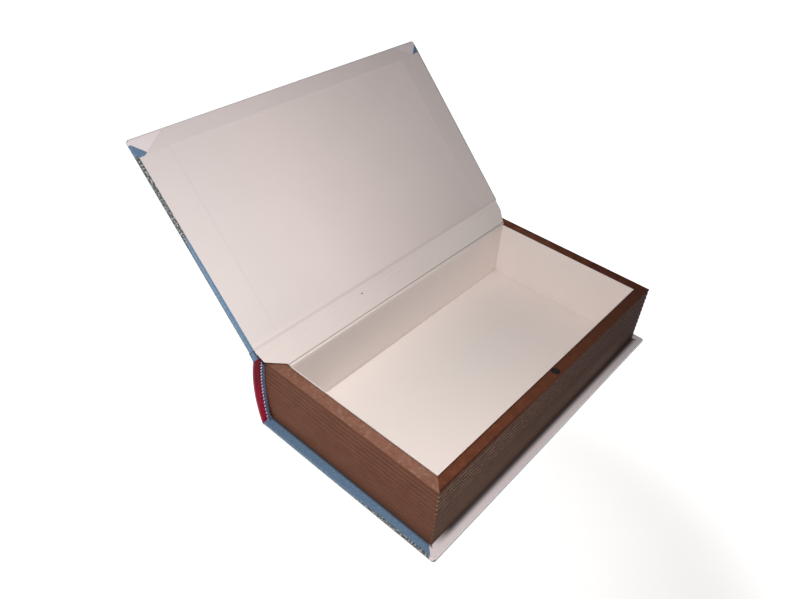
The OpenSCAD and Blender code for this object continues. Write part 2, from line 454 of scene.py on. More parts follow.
def draw_cover(place):
    sheet = place.node("ShaderNodeUVMap", {"uv_map": "sheet"})
    u, v = split(sheet)[:2]
    past_end = abs(v) - board_half
    past_fore = u - board_x1
    at_back = fade_mm(split(place)[2], 6, 4)

    drift = mottle(sheet, 16, 3.0).outlet(1)
    swirl = sheet.node("ShaderNodeMix", {"data_type": "VECTOR"},
                       {0: 0.016, 4: sheet, 5: drift}, 1)
    stones = swirl.node("ShaderNodeTexVoronoi", {"feature": "SMOOTH_F1"},
                        {"Vector": swirl, "Scale": 1 / stone_size, "Smoothness": 0.25})
    veins = swirl.node("ShaderNodeTexVoronoi", {"feature": "DISTANCE_TO_EDGE"},
                       {"Vector": swirl, "Scale": 1 / stone_size})
    shade = stones.node("ShaderNodeValToRGB", {"stops": [
        (0.0, (214, 214, 226)), (0.18, (160, 178, 204)), (0.42, (104, 138, 172)), (0.75, deep_blue)]},
        {0: stones})
    marbled = tint(fade(veins, 0.07, 0.02), shade, (204, 196, 210))

    fibre = mottle(sheet, 0.7, 4.0)
    speck = mottle(sheet, 1.2)
    plain = tint(fade(speck, 0.35, 0.8), tint(mottle(sheet, 9), blue, (84, 116, 148)), (120, 146, 172))
    rim = tint(fade(speck, 0.44, 0.56), (66, 71, 73), (104, 114, 122))
    rim = tint(fade(speck, 0.52, 0.62), rim, (176, 177, 172))
    ends = tint(fade_mm(past_end, -5, -3.2), marbled, deep_blue)
    ends = tint(fade_mm(past_end, -2, -1.2), ends, rim)
    ragged = past_end + 0.8 * mm * fibre - 1.5 * mm * fade_mm(u, 5, 35) * at_back
    ragged -= 5 * mm * fade_mm(u, -4, 22) * fade_mm(u, 66, 60) * (1 - at_back)
    in_joint = fade(u, board_x0 + 1.5 * mm, board_x0 + 0.5 * mm) * fade_mm(past_end, -4, -3)
    ends = tint(fade_mm(ragged, 1.3, 1.8) | in_joint, ends, plain)

    # Painted shade: the fore edge's lower roll is grey-blue.
    fore = tint(fade_mm(past_fore, -3, -1.5), ends, (100, 108, 122))
    # Painted light: on the back cover the pale fore margin is lighter toward the head.
    pale_and_lit = tint(fade_mm(v, -60, 20) * at_back, pale_lilac, (248, 238, 240))
    fore = tint(fade_mm(past_fore, 1.1, 1.6), fore, pale_and_lit)
    outside = fade_mm(past_end, 0.3, -0.3)
    folded = (past_end - cover_t) * fade(past_end, cover_t - 0.1 * mm, cover_t + 0.1 * mm)
    trimmed = at_back * fade_mm(v, 0, 1) * 5.5 * mm
    corner = fade_mm(past_fore + folded + mitre_past + trimmed, -0.2, 0.2)
    by_fore = fade_mm(past_fore - past_end, -0.2, 0.2) * fade_mm(past_fore, -3.2, -1.4)
    at_fore = corner * (1 - outside) + by_fore * outside
    printed = tint(at_fore, ends, fore)
    printed = tint(at_fore * fade_mm(past_end, 0.3, 0.8), printed, pale_and_lit)

    # Painted shadow: the print darkens beside the walls' feet, on the end margins and along the fore
    # margin.
    end_foot_shadow = fade(past_end, foot_at_end - 1.7 * mm, foot_at_end - 0.3 * mm)
    printed = tint(end_foot_shadow * 0.8 * at_back, printed, (58, 50, 50))
    fore_foot_shadow = fade(past_fore, foot_at_fore - 4.9 * mm, foot_at_fore - 0.6 * mm)
    fore_foot_shadow *= fade(v, 5 * mm - board_half, 26 * mm - board_half)
    printed = tint(fore_foot_shadow * 0.95 * at_back, printed, (48, 32, 35))
    at_spine = fade(u, board_x0 - 6.4 * mm, board_x0 - 6.8 * mm)
    return surface(tint(at_spine, printed, crimson), 0.42 + 0.16 * fibre, fibre, 0.02)


cover_print = finish_of("cover_print_finish", {"Coat Weight": 0.12, "Coat Roughness": 0.35}, draw_cover)
paper_half_t = paper_t / 2
turned_in = (1.6, 2.4, 3.6, 5.5, 7.7, 10, 12.5, 16, 20, 24)
turn_in_end = turned_in[-1] * mm
cover_path = rolled_edge(paper_half_t, cover_t, roll_r - paper_half_t)
last_inset, last_rise, last_along = cover_path[-1]
cover_path += [(step * mm, last_rise, last_along + step * mm - last_inset) for step in turned_in]
cover_rows, cover_places = zip(*(cover_ring(*step) for step in cover_path))


def wrapped_cover(place):
    return loft(cover_rows, places=cover_places, place=place, lids=(0,))


back_cover = new_piece("back_cover_wrap", wrapped_cover(on_tray), cover_print)
thicken(back_cover, paper_t)
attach(back_cover, "tray")
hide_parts("back_cover_paper")

# The stretch of it through the joint, from the board's edge down to the spine's rounded top
spine_r = 102 * mm
spine_card_t = 1 * mm
arc_rise = 7.3 * mm
spine_low, spine_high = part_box("spine_cover_paper")
tail_low, tail_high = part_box("tail_wall")
arc_x = spine_low.x + spine_r + spine_card_t + paper_t
arc_z = (tail_low.z + tail_high.z) / 2 + arc_rise
spine_top = spine_high.z


def beside(x, z, *steps):
    """Points that lie some millimetres off the place (x, z)."""
    return [(x + out * mm, z + up * mm) for out, up in steps]


def curve_through(points, step):
    """Points along a smooth curve through the given (x, z) places, about step apart."""
    ends = [points[0]] + points + [points[-1]]
    path = []
    for before, here, there, after in zip(ends, ends[1:], ends[2:], ends[3:]):
        count = max(1, round((Vector(there) - Vector(here)).length / step))
        for i in range(count):
            t = i / count
            path.append(tuple(0.5 * (2 * b + (c - a) * t + (2 * a - 5 * b + 4 * c - d) * t * t
                                     + (3 * b - a - 3 * c + d) * t ** 3)
                              for a, b, c, d in zip(before, here, there, after)))
    path.append(points[-1])
    return path


def along(path):
    """How far along a path each of its points lies."""
    reach = [0]
    for here, there in zip(path, path[1:]):
        reach.append(reach[-1] + (Vector(there) - Vector(here)).length)
    return reach


board_edge = on_lid((board_x0, 0, paper_half_t))
joint_path = curve_through(beside(board_edge.x, board_edge.z, (0, 0))
                           + beside(hinge_at.x, hinge_at.z, (-0.6, 0.75), (-0.2, 0.2), (-0.05, -0.35))
                           + beside(hinge_at.x, spine_top, (0.5, -0.02)), 0.2 * mm)
joint_ys = [board_half * (2 * i / side_steps - 1) for i in range(side_steps + 1)]
joint_rows = [[(x, y, z) for y in joint_ys] for x, z in joint_path]
joint_places = [[(board_x0 - reach, y) for y in joint_ys] for reach in along(joint_path)]
joint_strip = new_piece("joint", loft(joint_rows, places=joint_places), cover_print)
front_cover = new_piece("front_cover_wrap", wrapped_cover(on_lid), cover_print)
with bpy.context.temp_override(active_object=front_cover, object=front_cover,
                               selected_editable_objects=[front_cover, joint_strip]):
    bpy.ops.object.join()
thicken(front_cover, paper_t)
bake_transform(front_cover)
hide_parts("front_cover_paper")


# The spine is a flat strip of card, rounded over the wooden spine and covered in crimson paper. The
# paper is turned in at both ends, where its inside shows beside the headbands.
spine_roll = 0.6 * mm
spine_rows = 44
top_gap = 0.05 * mm
row_pitch = 1.3 * mm
tray_half = -tail_low.y
fleck_at = (-76.2 * mm, -131.5 * mm, 17.0 * mm)
rule_pale = (214, 188, 176)
rules_at = ((113, 0.5), (115.5, 0.22), (44, 0.35))  # mm off the middle, and half as wide


def coat(node, finish):
    """Gives one of the part's own solids a finish. Its shape stays."""
    finishes = frame["nodes"][node].data.materials
    finishes.clear()
    finishes.append(finish)


def draw_spine(place):
    from_middle = abs(split(place.node("ShaderNodeUVMap", {"uv_map": "sheet"}))[0])
    height = split(place)[2]
    grain = mottle(place, 0.45, 3.0, (1, 1, 0.55))
    red = tint(mottle(place, 7, 3.0), (138, 4, 40), (160, 10, 50))
    # Painted shade: the crimson darkens toward the spine's top.
    red = tint(fade_mm(height, 18, 42) * 0.6, red, (96, 3, 26))
    red = tint(fade(grain, 0.45, 0.75) * 0.5, red, (112, 2, 30))
    rules = 0
    for at, half in rules_at:
        rules += fade_mm(abs(from_middle - at * mm), half + 0.12, half - 0.08)
    red = tint(rules * fade(grain, 0.15, 0.4), red, rule_pale)
    worn = fade(mottle(place, 0.9), 0.74, 0.8) * 0.35
    fleck = fade_mm(how_far(place, fleck_at), 0.55, 0.35)
    red = tint(worn + fleck, red, (226, 200, 200))
    return surface(red, 0.4 + 0.2 * grain, grain, 0.03)


spine_print = finish_of("spine_print_finish", {"Coat Weight": 0.1, "Coat Roughness": 0.4}, draw_spine)
inner_r = spine_r - paper_half_t
outer_r = spine_r + spine_card_t + paper_half_t
roll_y = board_half - paper_half_t - spine_roll
end_path = [(inner_r, tray_half), (inner_r, (tray_half + roll_y) / 2)]
end_path += [(inner_r + spine_roll * (1 - cos(pi * k / 10)), roll_y + spine_roll * sin(pi * k / 10))
             for k in range(11)]
section = [(r, -y) for r, y in end_path]
section += [(outer_r, roll_y * (2 * i / side_steps - 1)) for i in range(1, side_steps)]
section += [(r, y) for r, y in reversed(end_path)]
section_reach = along(section)
foot_z = paper_half_t
top_z = spine_top - paper_half_t - top_gap
spine_sheet = [[(board_x0, y, foot_z) for r, y in section]]
for i in range(spine_rows + 1):
    z = foot_z + (top_z - foot_z) * i / spine_rows
    spine_sheet.append([(arc_x - sqrt(r * r - (z - arc_z) ** 2), y, z) for r, y in section])
spine_sheet.append([(arc_x - sqrt(inner_r ** 2 - (top_z - arc_z) ** 2), y, top_z + 0.02 * mm)
                         for r, y in section])
spine_places = [[(reach - section_reach[-1] / 2, i * row_pitch) for reach in section_reach]
                for i in range(len(spine_sheet))]
spine_wrap = new_piece("spine_wrap", loft(spine_sheet, places=spine_places), spine_print)
thicken(spine_wrap, paper_t)
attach(spine_wrap, "tray")
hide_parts("spine_cover_paper")
coat("spine_card", grey_board)


# The walls are 8.5 mm fibreboard, mitred at the fore edge and stained brown. Grooves milled along
# their outsides look like the edges of pages. Each board has taken the stain in its own tone, with a
# dark line near the tail along its outer edge. Painted shade darkens the grooves, a line beside the
# lining, and the tops and faces toward the head. Painted highlight and wear lighten the grooves' lips
# and the arrises, and painted light makes the faces paler toward their foot.
wall_t = 8.5 * mm
groove_pitch = 4.05 * mm
groove_top = 2.7 * mm
groove_w = 1.15 * mm
groove_count = 12
groove_form = ((-1.2, 0, 0.15), (-0.8, 0, 1), (-0.55, 0.12, 1), (-0.3, 0.8, 0),
               (0, 1, 0), (0.3, 0.8, 0), (0.5, 0.12, 0.1), (0.62, 0, 0))
full_grooves = 5
shallow = 0.6
arris = 0.3 * mm
foot_arris = 0.45 * mm
mitre_gap = 0.03 * mm
wall_step = 2.2 * mm
chip_x = -25 * mm
chip_z = 54 * mm
chip_r = 1.3 * mm
chip_in = 0.85 * mm
chip_down = 0.7 * mm
chip_grain = 0.5 * mm
hole_slack = 0.05 * mm
cutter = {"Depth wander": 0.25, "Height wander": 0.5 * mm, "Face wander": 0.14 * mm}
tray_x0 = tail_low.x
tray_x1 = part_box("fore_edge_wall")[1].x
tray_z0 = tail_low.z
tray_z1 = tail_high.z


def wall_section():
    """Points round a wall's section from its foot: depth in from the outer face, height, how much of it
    is groove, how much is worn arris and painted highlight on a groove's lip, and how much is milled face."""
    section = [(foot_arris, tray_z0, 0.6, 0, 0), (0, tray_z0 + foot_arris, 0.2, 0, 0)]
    for i in reversed(range(groove_count)):
        z = tray_z1 - groove_top - i * groove_pitch
        cut = 1 if i < full_grooves else shallow
        if i < groove_count - 1:
            section.append((0, z - 0.5 * groove_pitch, 0, 0, 1))
        for part, groove, worn in groove_form:
            section.append((0, z + part * groove_w, cut * groove, cut * worn, 1))
    section += [(0, tray_z1 - 0.9 * mm, 0, 0.2, 0)]
    section += [(arris * (1 - cos(turn)), tray_z1 - arris * (1 - sin(turn)), 0, 0.4, 0)
                for turn in quarter(4)]
    section += [(part * wall_t, tray_z1, 0, 0, 0) for part in (0.12, 0.3, 0.5, 0.7, 0.9)]
    section += [(wall_t - arris * (1 - sin(turn)), tray_z1 - arris * (1 - cos(turn)), 0, 0.5, 0)
                for turn in quarter(3)]
    section += [(wall_t, tray_z1 - 4 * mm, 0, 0, 0), (wall_t, tray_z0, 0, 0, 0)]
    return section


def end_wall(side):
    """The tail wall at side -1, chipped at its top, or the head wall at side 1, in rows to the mitre."""
    length = tray_x1 - tray_x0
    count = round(length / wall_step)
    shares = [i / count for i in range(count + 1)]
    if side < 0:
        chip = (chip_x - tray_x0) / length
        shares = [share for share in shares if abs(share - chip) > 1.4 * chip_r / length]
        shares = sorted(shares + [chip + 0.12 * i * chip_r / length for i in range(-11, 12)])
    rows, inward = [], []
    for share in shares:
        row = []
        for depth, z, groove, worn, milled in wall_section():
            at_spine = arc_x - sqrt(spine_r ** 2 - (z - arc_z) ** 2) + mitre_gap
            x = at_spine + (tray_x1 - depth - mitre_gap - at_spine) * share
            y = tray_half - depth
            away = sqrt((x - chip_x) ** 2 + (depth * 0.8) ** 2 + (z - chip_z) ** 2)
            if side < 0 and away < chip_r:
                ragged = 0.75 + 0.5 * noise.noise(Vector((x, depth, z)) / chip_grain)
                dent = (1 - away / chip_r) * ragged
                y -= chip_in * dent
                z -= chip_down * dent
            row.append((x, side * y, z))
            inward.append((-share, -side, 0))
        rows.append(row)
    return rows, inward


def fore_wall():
    """The fore edge wall, as rows from its tail mitre to its head mitre."""
    count = round(2 * tray_half / wall_step)
    rows, inward = [], []
    for i in range(count + 1):
        share = 2 * i / count - 1
        rows.append([(tray_x1 - depth, share * (tray_half - depth - mitre_gap), z)
                     for depth, z, groove, worn, milled in wall_section()])
        inward += [(-1, -share, 0)] * len(rows[-1])
    return rows, inward


def geometry_tree(name, form, numbers, finish, made, work):
    """A geometry tree whose named inputs are a form, numbers and a finish. What work makes of the first
    two comes out as made, with the finish on it."""
    tree = bpy.data.node_groups.new(name, "GeometryNodeTree")
    kinds = {form: "Geometry", **dict.fromkeys(numbers, "Float"), finish: "Material"}
    for socket, kind in kinds.items():
        tree.interface.new_socket(socket, in_out="INPUT", socket_type="NodeSocket" + kind)
    tree.interface.new_socket(made, in_out="OUTPUT", socket_type="NodeSocketGeometry")
    start = Value(tree).node("NodeGroupInput")
    outlets = [start.outlet(socket) for socket in kinds]
    grown = work(*outlets[:-1])
    grown = grown.node("GeometryNodeRealizeInstances", {}, {"Geometry": grown})
    grown = grown.node("GeometryNodeSetMaterial", {}, {"Geometry": grown, "Material": outlets[-1]})
    grown.node("NodeGroupOutput", {}, {made: grown})
    return tree


def run_tree(piece, tree, values, sharp):
    """Runs a geometry tree on a piece, with its named inputs set, and keeps the plain mesh."""
    grow = piece.modifiers.new("grow", "NODES")
    grow.node_group = tree
    for item in tree.interface.items_tree:
        if item.in_out == "INPUT" and item.name in values:
            grow[item.identifier] = values[item.name]
    piece.data.update()
    settle(piece, sharp)


def mill(wall, depth, depth_wander, height_wander, face_wander):
    """Sinks the grooves into a wall and lets them wander a little, as the cutter did."""
    groove, milled, inward = (
        wall.node("GeometryNodeInputNamedAttribute", {"data_type": kind}, {"Name": mark})
        for mark, kind in (("groove", "FLOAT"), ("milled", "FLOAT"), ("inward", "FLOAT_VECTOR")))
    place = wall.node("GeometryNodeInputPosition")
    slow = mottle(place, 14, 2.0, (1, 1, 0.4))
    drift = mottle(place, 30, 1.0, (1, 1, 0.25))
    leaf = mottle(place, 22, 1.0, (1, 1, 0.12))
    sunk = groove * depth * (1 - depth_wander + 2 * depth_wander * slow) + milled * face_wander * leaf
    push = inward.node("ShaderNodeVectorMath", {"operation": "SCALE"}, {0: inward, "Scale": sunk})
    lift = push.node("ShaderNodeCombineXYZ", {}, {2: milled * height_wander * (drift - 0.5)})
    move = push.node("ShaderNodeVectorMath", {"operation": "ADD"}, {0: push, 1: lift})
    return wall.node("GeometryNodeSetPosition", {}, {"Geometry": wall, "Offset": move})


def stained(name, top, side, hollow, deep, cut, band, lift, gap_shade):
    """Stained fibreboard: top and side are the tones of the sawn top and the milled face, hollow is the
    darkest, and deep are the darker tones that painted shade gives top and face at the head. cut is how
    dark the painted shade in the grooves is and how strong the lips' wear and painted highlight are, band
    how dark the top's outer half is, gap_shade the painted shade line by the lining, and lift how much
    painted light makes the face's foot paler."""
    def draw(place):
        on_top = fade(split(place.node("ShaderNodeNewGeometry", outlet="Normal"))[2], 0.6, 0.85)
        across, length, height = split(place)
        worn, groove = (place.node("ShaderNodeAttribute", {"attribute_name": mark}, outlet="Fac")
                        for mark in ("worn", "groove"))
        streak = mottle(place, 1.5, 3.0, (6, 6, 0.5))
        fibre = mottle(place, 0.35, 3.0)
        grain = mottle(place, 0.9, 3.0)
        blotch = mottle(place, 9, 3.0)
        cloud = mottle(place, 3)
        inward = 0 - ((across - tray_x1) | (abs(length) - tray_half))
        near_tail = fade_mm(length, 0, -70)
        toward_head = fade(length, -tray_half, tray_half)

        tone = tint(fade(blotch, 0.3, 0.7), top[0], top[1])
        tone = tint(fade(grain, 0.48, 0.62) * 0.3 | fade(cloud, 0.5, 0.64) * 0.45, tone, top[2])
        tone = tint(fade_mm(inward, 4.2, 3.4) * band, tone, deep[0])
        tone = tint(fade_mm(inward, 1.8, 1.1) * near_tail * 3 * band, tone, hollow)
        # Painted shade: a dark line on the top beside the lining.
        tone = tint(fade_mm(inward, 7, 7.8) * gap_shade, tone, hollow)
        # Painted shade: the top darkens toward the head and toward the fore edge.
        tone = tint(toward_head * fade(across, tray_x0, tray_x1) * 0.6, tone, deep[0])

        face = tint(fade(blotch, 0.25, 0.75), side[0], side[1])
        face = tint(fade(streak, 0.4, 0.75) * 0.5, face, side[2])
        # Painted shade: the face darkens toward the head.
        face = tint(toward_head, face, deep[1])
        # Painted light: the face is paler toward its foot, less so near the head.
        painted_foot_light = fade_mm(height, 30, 12) * fade(length, tray_half, tray_half * 0.55)
        face = tint(painted_foot_light * lift, face, side[2])

        wood = tint(on_top, face, tone)
        wood = tint(fade(fibre, 0.5, 0.8) * 0.35, wood, hollow)
        # Painted shade in the grooves.
        wood = tint(fade(groove, 0.15, 0.9) * cut, wood, hollow)
        # Wear and painted highlight: the arrises and the grooves' lips are lighter, more so toward the
        # tail.
        rubbed_and_highlit = fade(worn, 0.3, 1.0) * (0.35 + 0.45 * fade(cloud, 0.4, 0.6)) * (1.1 - toward_head)
        wood = tint(rubbed_and_highlit * cut, wood, (142, 116, 96))
        corner = fade_mm(tray_x1 - across, 1.3, 0.5) * fade_mm(tray_half - abs(length), 1.3, 0.5)
        bare = corner * fade(worn, 0.3, 0.9) * (1 - on_top)
        wood = tint(bare * 0.8, wood, (172, 136, 108))
        return surface(wood, 0.62 + 0.18 * fibre, 0.6 * fibre + 0.4 * streak, 0.06)
    return finish_of(name, {"Specular IOR Level": 0.05}, draw)


tail_stain = stained("tail_wall_stain", ((130, 86, 70), (138, 98, 82), (162, 127, 113)),
                     ((114, 74, 58), (107, 67, 52), (124, 87, 70)), (62, 36, 26),
                     ((132, 86, 69), (108, 64, 46)), cut=0.35, band=0.0, lift=0.35, gap_shade=0.3)
fore_stain = stained("fore_wall_stain", ((107, 62, 44), (94, 52, 37), (126, 77, 52)),
                     ((95, 71, 61), (88, 65, 56), (112, 90, 78)), (36, 22, 17),
                     ((92, 60, 47), (62, 42, 36)), cut=1.0, band=0.2, lift=0.4, gap_shade=0.5)
head_stain = stained("head_wall_stain", ((140, 84, 64), (112, 62, 48), (150, 104, 84)),
                     ((104, 66, 52), (94, 58, 46), (120, 80, 64)), (52, 30, 24),
                     ((66, 36, 28), (90, 54, 42)), cut=0.5, band=0.12, lift=0.2, gap_shade=0.15)
milling = geometry_tree("mill_page_grooves", "Wall", ("Groove depth", *cutter), "Stain",
                        "Milled wall", mill)
for node, stain, depth, (rows, inward) in (("tail_wall", tail_stain, 0.2 * mm, end_wall(-1)),
                                           ("head_wall", head_stain, 0.3 * mm, end_wall(1)),
                                           ("fore_edge_wall", fore_stain, 0.55 * mm, fore_wall())):
    parts = wall_section() * len(rows)
    marks = {mark: [float(part[k]) for part in parts]
             for k, mark in enumerate(("groove", "worn", "milled"), 2)}
    marks["inward"] = inward
    wall = new_piece(node + "_milled", loft(rows, looped=True, marks=marks), stain)
    run_tree(wall, milling, {**cutter, "Groove depth": depth, "Stain": stain}, 30)
    if node == "fore_edge_wall":
        hole_r = (magnet_high.x - magnet_low.x) / 2 + hole_slack
        cut_out(wall, disc(hole_r, magnet_low.z, tray_z1 + mm))
    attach(wall, "tray")
    "stained_wood_dark" if node == "fore_edge_wall" else "stained_wood"
    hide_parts(node)


# The floor and the block behind the spine are raw fibreboard, sawn to size and glued in. The lining and
# the papers hide them.
def draw_hardboard(place):
    fibre = mottle(place, 0.6, 4.0)
    brown = tint(mottle(place, 8), (142, 106, 76), (156, 120, 88))
    return surface(tint(fibre, brown, (110, 78, 54)), 0.75 + 0.15 * fibre, fibre, 0.08)


hardboard = finish_of("hardboard_finish", {}, draw_hardboard)
coat("floor_panel", hardboard)
coat("spine_block", hardboard)


# The lining is five plates of white card, cut with a knife and stuck in. The side ones reach just into
# the floor's and stand a hair off the wood, which shows as a dark line beside their bright cut edges.
# The one at the spine has painted shade on it, darker near the tail and toward its top.
card_t = 0.45 * mm
card_arris = 0.08 * mm
card_parts = 12
long_card = 20 * mm
lining_gap = 0.3 * mm
tail_gap = 0.5 * mm
lip_gap = 0.05 * mm
side_short = 0.12 * mm
fore_short = 0.62 * mm
floor_low, floor_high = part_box("floor_lining")
block_x1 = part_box("spine_block")[1].x
inner_x1 = tray_x1 - wall_t
inner_half = tray_half - wall_t
lining_foot = floor_high.z - card_arris
lining_top = tray_z1 - side_short


def slice_form(form, point, normal):
    """Divides the faces of a form along a plane. All of it stays."""
    bmesh.ops.bisect_plane(form, geom=form.verts[:] + form.edges[:] + form.faces[:],
                           plane_co=point, plane_no=normal)


def plate(low, high):
    """A thin plate with its arrises just taken off. Its sides are divided to keep their shading narrow."""
    low, high = Vector(low), Vector(high)
    size = high - low
    form = bmesh.new()
    bmesh.ops.create_cube(form, size=1)
    bmesh.ops.transform(form, verts=form.verts,
                        matrix=Matrix.Translation((low + high) / 2) @ Matrix.Diagonal((*size, 1)))
    bmesh.ops.bevel(form, geom=form.edges, offset=card_arris, segments=2, profile=0.5, affect="EDGES")
    for axis in range(3):
        if size[axis] > long_card:
            for i in range(1, card_parts):
                place = low.copy()
                place[axis] += size[axis] * i / card_parts
                slice_form(form, place, [float(axis == k) for k in range(3)])
    mesh = bpy.data.meshes.new("plate")
    form.to_mesh(mesh)
    form.free()
    return mesh


def draw_card(place):
    fibre = mottle(place, 0.4, 4.0)
    across, length, height = split(place)
    # Painted shade on the spine side's card, darker near the tail and toward its top.
    spine_side_shade = fade(across, block_x1 + 1.2 * mm, block_x1 + 0.9 * mm) * fade_mm(length, 100, -70)
    spine_side_shade *= 0.27 + 0.13 * fade_mm(height, 10, 50)
    white = tint(mottle(place, 22), (249, 240, 236), (246, 237, 233))
    return surface(tint(spine_side_shade, white, (150, 138, 132)), 0.6 + 0.15 * fibre, fibre, 0.02)


card = finish_of("lining_card_finish", {"Specular IOR Level": 0.3}, draw_card)
side_x0 = block_x1 + lining_gap
side_x1 = inner_x1 - lining_gap
side_y = inner_half - lining_gap
tail_y = inner_half - tail_gap
linings = {
    "floor_lining": ((block_x1, -inner_half, floor_low.z), (inner_x1, inner_half, floor_high.z)),
    "tail_lining": ((side_x0, -tail_y, lining_foot), (side_x1, card_t - tail_y, lining_top)),
    "head_lining": ((side_x0, side_y - card_t, lining_foot), (side_x1, side_y, lining_top)),
    "fore_edge_lining": ((side_x1 - card_t, card_t - side_y, lining_foot),
                         (side_x1, side_y - card_t, tray_z1 - fore_short)),
    "spine_lining": ((block_x1 + lip_gap, card_t - side_y, lining_foot),
                     (side_x0 + card_t, side_y - card_t, lining_top)),
}
for node, (low, high) in linings.items():
    lining = new_piece(node + "_card", plate(low, high), card)
    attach(lining, "tray")
    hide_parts(node)


# The catch is a small round magnet pressed into the top of the fore edge wall. It pulls on a zinc
# plated steel disc let into the lid's board, behind the paper.
magnet_arris = 0.25 * mm


def draw_magnet(place):
    scratch = mottle(place, 0.3, 3.0, (1, 4, 1))
    oxide = tint(mottle(place, 1.5), (58, 54, 50), (84, 78, 72))
    return surface(oxide, 0.38 + 0.25 * scratch, scratch, 0.02)


def draw_zinc(place):
    scratch = mottle(place, 0.2, 2.0, (1, 6, 1))
    spangle = tint(mottle(place, 1.2), (186, 190, 194), (208, 210, 212))
    return surface(spangle, 0.3 + 0.25 * scratch, scratch, 0.01)


magnet_form = disc(magnet_high.x - disc_x, magnet_low.z, magnet_high.z, magnet_arris)
magnet = new_piece("front_magnet_disc", magnet_form,
                   finish_of("magnet_finish", {"Metallic": 0.8}, draw_magnet))
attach(magnet, "tray")
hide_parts("front_magnet")
coat("lid_keeper", finish_of("zinc_finish", {"Metallic": 1.0}, draw_zinc))


# Each headband is a flattened cord wound with navy thread, every fourth turn grey-blue, with white beads
# along its outer side. It is stuck along the inside of the rounded spine against the wood.
band_r = 0.85 * mm
band_lie_r = 99.8 * mm
band_sag = 3.4 * mm
band_steps = 60
band_y = tray_half + band_r + 0.01 * mm
band_short = 0.5 * mm
thread_lean = (0.0, 0.3, 0.0)
bead_turns = 4
cord = {"Band radius": band_r, "Flattening": 2.3, "Thread radius": 0.19 * mm, "Thread pitch": 0.36 * mm,
        "Bead radius": 0.44 * mm}


def band_line(side):
    """The cord's middle line down the inside of the spine, sagging off the wood toward its foot."""
    top_turn = asin((tray_z1 - band_short - arc_z) / band_lie_r)
    foot_turn = -asin((arc_z - tray_z0 - band_short) / band_lie_r)
    line = []
    for i in range(band_steps + 1):
        turn = top_turn + (foot_turn - top_turn) * i / band_steps
        sag = band_sag * max(0, i / band_steps - 0.4) ** 1.5
        line.append((arc_x - band_lie_r * cos(turn), side * (band_y + sag),
                     arc_z + band_lie_r * sin(turn)))
    mesh = bpy.data.meshes.new("band_line")
    mesh.from_pydata(line, [(i, i + 1) for i in range(band_steps)], [])
    return mesh


def dots(curve, gap):
    """Points along a curve, a gap apart."""
    return curve.node("GeometryNodeCurveToPoints", {"mode": "LENGTH"}, {"Curve": curve, "Length": gap})


def marked(copies, shade):
    """Copies that carry a thread's shade: 0 is navy, 0.5 grey-blue and 1 white."""
    return copies.node("GeometryNodeStoreNamedAttribute", {"domain": "INSTANCE"},
                       {"Geometry": copies, "Name": "thread", "Value": shade})


def wind(line, band, flat, thread, pitch, bead, outward):
    """Winds thread round a flattened cord along a line and sets beads along its outer side."""
    curve = line.node("GeometryNodeMeshToCurve", {}, {"Mesh": line})
    points = dots(curve, pitch)
    turn_of = line.node("FunctionNodeAlignRotationToVector", {"axis": "Z", "pivot_axis": "Y"},
                        {"Vector": points.outlet("Tangent")})
    ring = line.node("GeometryNodeCurvePrimitiveCircle", {}, {"Resolution": 26, "Radius": band - thread})
    wide = line.node("ShaderNodeCombineXYZ", {}, {0: flat, 1: 1.0, 2: 1.0})
    ring = line.node("GeometryNodeTransform", {}, {"Geometry": ring, "Scale": wide})
    strand = line.node("GeometryNodeCurvePrimitiveCircle", {}, {"Resolution": 7, "Radius": thread})
    ring = line.node("GeometryNodeCurveToMesh", {}, {"Curve": ring, "Profile Curve": strand})
    ring = line.node("GeometryNodeTransform", {}, {"Geometry": ring, "Rotation": thread_lean})
    swell = line.node("FunctionNodeRandomValue", {}, {2: 0.95, 3: 1.0, "Seed": 4}, 1)
    turns = line.node("GeometryNodeInstanceOnPoints", {}, {"Points": points, "Instance": ring,
                                                           "Rotation": turn_of, "Scale": swell})
    number = line.node("GeometryNodeInputIndex")
    last_of_four = number.math("FLOORED_MODULO", bead_turns) > bead_turns - 1.5
    turns = marked(turns, last_of_four * 0.5)

    beads = dots(curve, pitch * bead_turns)
    bead_turn = beads.outlet("Rotation")
    ball = line.node("GeometryNodeMeshIcoSphere", {}, {"Radius": bead, "Subdivisions": 3})
    ball = line.node("GeometryNodeTransform", {}, {"Geometry": ball, "Scale": (0.9, 0.9, 1.25)})
    odd = number.math("FLOORED_MODULO", 2.0)
    shift = line.node("ShaderNodeCombineXYZ", {}, {0: (0.45 * odd - 0.62) * band * flat,
                                                   1: outward * band * (0.75 + 0.2 * odd)})
    beads = line.node("GeometryNodeSetPosition", {}, {"Geometry": beads, "Offset": shift})
    balls = line.node("GeometryNodeInstanceOnPoints", {}, {"Points": beads, "Instance": ball,
                                                           "Rotation": bead_turn})
    both = line.node("GeometryNodeJoinGeometry", {}, {0: turns})
    line.tree.links.new(marked(balls, 1.0).socket, both.socket.node.inputs[0])
    return both


def draw_weave(place):
    thread = place.node("ShaderNodeAttribute", {"attribute_name": "thread"}, outlet="Fac")
    twist = mottle(place, 0.12, 2.0, (1, 1, 0.4))
    yarn = tint(mottle(place, 2.5), (32, 36, 76), (46, 54, 100))
    yarn = tint(fade(thread, 0.3, 0.5), yarn, (112, 126, 160))
    yarn = tint(fade(thread, 0.6, 0.9), yarn, (226, 222, 236))
    yarn = tint(fade(twist, 0.45, 0.7) * 0.3, yarn, (30, 30, 56))
    return surface(yarn, 0.55 + 0.2 * twist, twist, 0.04)


